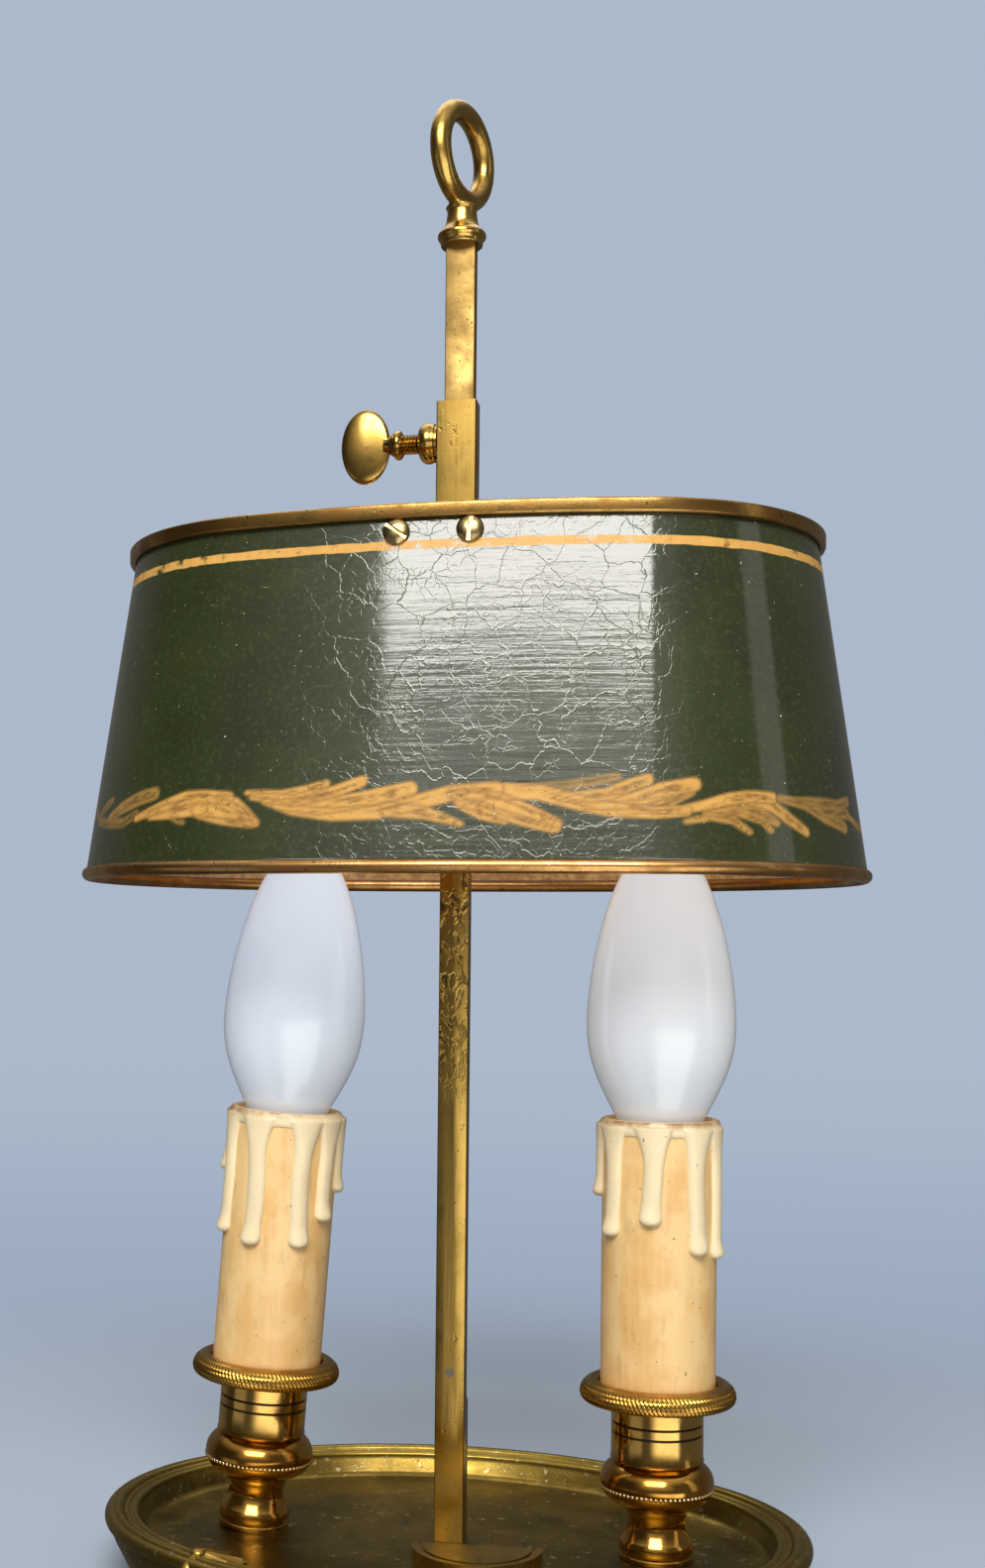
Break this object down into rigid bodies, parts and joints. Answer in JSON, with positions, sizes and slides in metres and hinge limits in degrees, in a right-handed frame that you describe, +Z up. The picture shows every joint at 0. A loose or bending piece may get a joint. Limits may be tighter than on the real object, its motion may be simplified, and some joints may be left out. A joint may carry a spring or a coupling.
{
  "type": "bouillotte lamp",
  "caption": "Brass desk lamp with an oval dish, flat bar stem with ring handle, candle-form lights and an oval painted metal shade that slides on the stem.",
  "frame": {"origin": "on the table under the stem, at the middle of the felt pad's lower face", "axes": "+Z up along the stem, +X to the right along the row of candles, front of the lamp towards -Y"},
  "size_m": [0.1918, 0.128, 0.3645],
  "materials": {
    "dish_brass": "olive patina, satin",
    "cast_brass": "worn casting, satin",
    "bright_brass": "rubbed satin brass",
    "turned_brass": "polished reddish gold",
    "red_brass": "rolled reddish brass, satin",
    "inner_brass": "plain, dull",
    "plug_metal": "grey, dull",
    "steel": "dull",
    "felt": "green felt, matte",
    "grommet": "matte black",
    "ceramic": "off-white, smooth",
    "wire_cover": "red-brown",
    "candle": "amber, waxy satin",
    "wax": "cream wax, satin",
    "opal_glass": "opal white, glossy",
    "cap_metal": "plain",
    "black_glass": "glossy black",
    "shade_paint": "dark olive green under aged crackled varnish, gold stripe and leaf band"
  },
  "bodies": {
    "base": {"tray": "dish_brass", "leaf_mounts": "cast_brass", "plaque": "cast_brass", "bottom_plate": "steel", "felt_pad": "felt", "plate_screws": "steel", "cord_grommet": "grommet", "joining_block": "ceramic", "block_screws": "inner_brass", "wires_left": "wire_cover", "wires_right": "wire_cover", "stem": "bright_brass", "stem_plug": "plug_metal", "stem_brace": "red_brass", "stem_washer": "inner_brass", "stem_nut": "inner_brass", "finial": "bright_brass", "nipple_washers": "inner_brass", "nipple_nuts": "inner_brass", "socket_left": "turned_brass", "nipple_left": "inner_brass", "drip_pan_left": "red_brass", "candle_left": "candle", "wax_drips_left": "wax", "lampholder_left": "ceramic", "screw_shell_left": "inner_brass", "contact_left": "inner_brass", "socket_right": "turned_brass", "nipple_right": "inner_brass", "drip_pan_right": "red_brass", "candle_right": "candle", "wax_drips_right": "wax", "lampholder_right": "ceramic", "screw_shell_right": "inner_brass", "contact_right": "inner_brass"},
    "shade": {"shade_wall": "shade_paint", "shade_lip": "bright_brass", "shade_bead": "red_brass", "shade_strap": "inner_brass", "strap_screws": "steel", "strap_nuts": "inner_brass", "sleeve": "bright_brass", "thumb_boss": "turned_brass"},
    "shoe": {"pressure_shoe": "inner_brass"},
    "thumbscrew": {"thumbscrew": "bright_brass"},
    "bulb_foot_left": {"bulb_foot_left": "black_glass", "bulb_pip_left": "cap_metal"},
    "bulb_left": {"bulb_cap_left": "cap_metal", "bulb_glass_left": "opal_glass"},
    "bulb_foot_right": {"bulb_foot_right": "black_glass", "bulb_pip_right": "cap_metal"},
    "bulb_right": {"bulb_cap_right": "cap_metal", "bulb_glass_right": "opal_glass"}
  },
  "joints": [
    {"name": "shade_slide", "type": "slide", "parent": "base", "child": "shade", "axis": [0, 0, 1], "range_m": [-0.075, 0.038]},
    {"name": "shoe_slide", "type": "slide", "parent": "shade", "child": "shoe", "axis": [1, 0, 0], "range_m": [-0.0016, 0]},
    {"name": "thumb_turn", "type": "hinge", "parent": "shoe", "child": "thumbscrew", "pos_m": [-0.012, 0, 0.281], "axis": [1, 0, 0], "range_deg": [-720, 0]},
    {"name": "bulb_left_lift", "type": "slide", "parent": "base", "child": "bulb_foot_left", "axis": [0.0732, 0, 0.9973], "range_m": [0, 0.01411]},
    {"name": "bulb_left_turn", "type": "hinge", "parent": "bulb_foot_left", "child": "bulb_left", "pos_m": [-0.05, 0, 0.011], "axis": [0.0732, 0, 0.9973], "range_deg": [0, 1800]},
    {"name": "bulb_right_lift", "type": "slide", "parent": "base", "child": "bulb_foot_right", "axis": [0, 0, 1], "range_m": [0, 0.01411]},
    {"name": "bulb_right_turn", "type": "hinge", "parent": "bulb_foot_right", "child": "bulb_right", "pos_m": [0.05, 0, 0.011], "axis": [0, 0, 1], "range_deg": [0, 1800]}
  ],
  "couplings": [
    {"joint": "shoe_slide", "follows": "thumb_turn", "m_per_rad": 0.00012732},
    {"joint": "bulb_left_lift", "follows": "bulb_left_turn", "m_per_rad": 0.00044913},
    {"joint": "bulb_right_lift", "follows": "bulb_right_turn", "m_per_rad": 0.00044913}
  ]
}
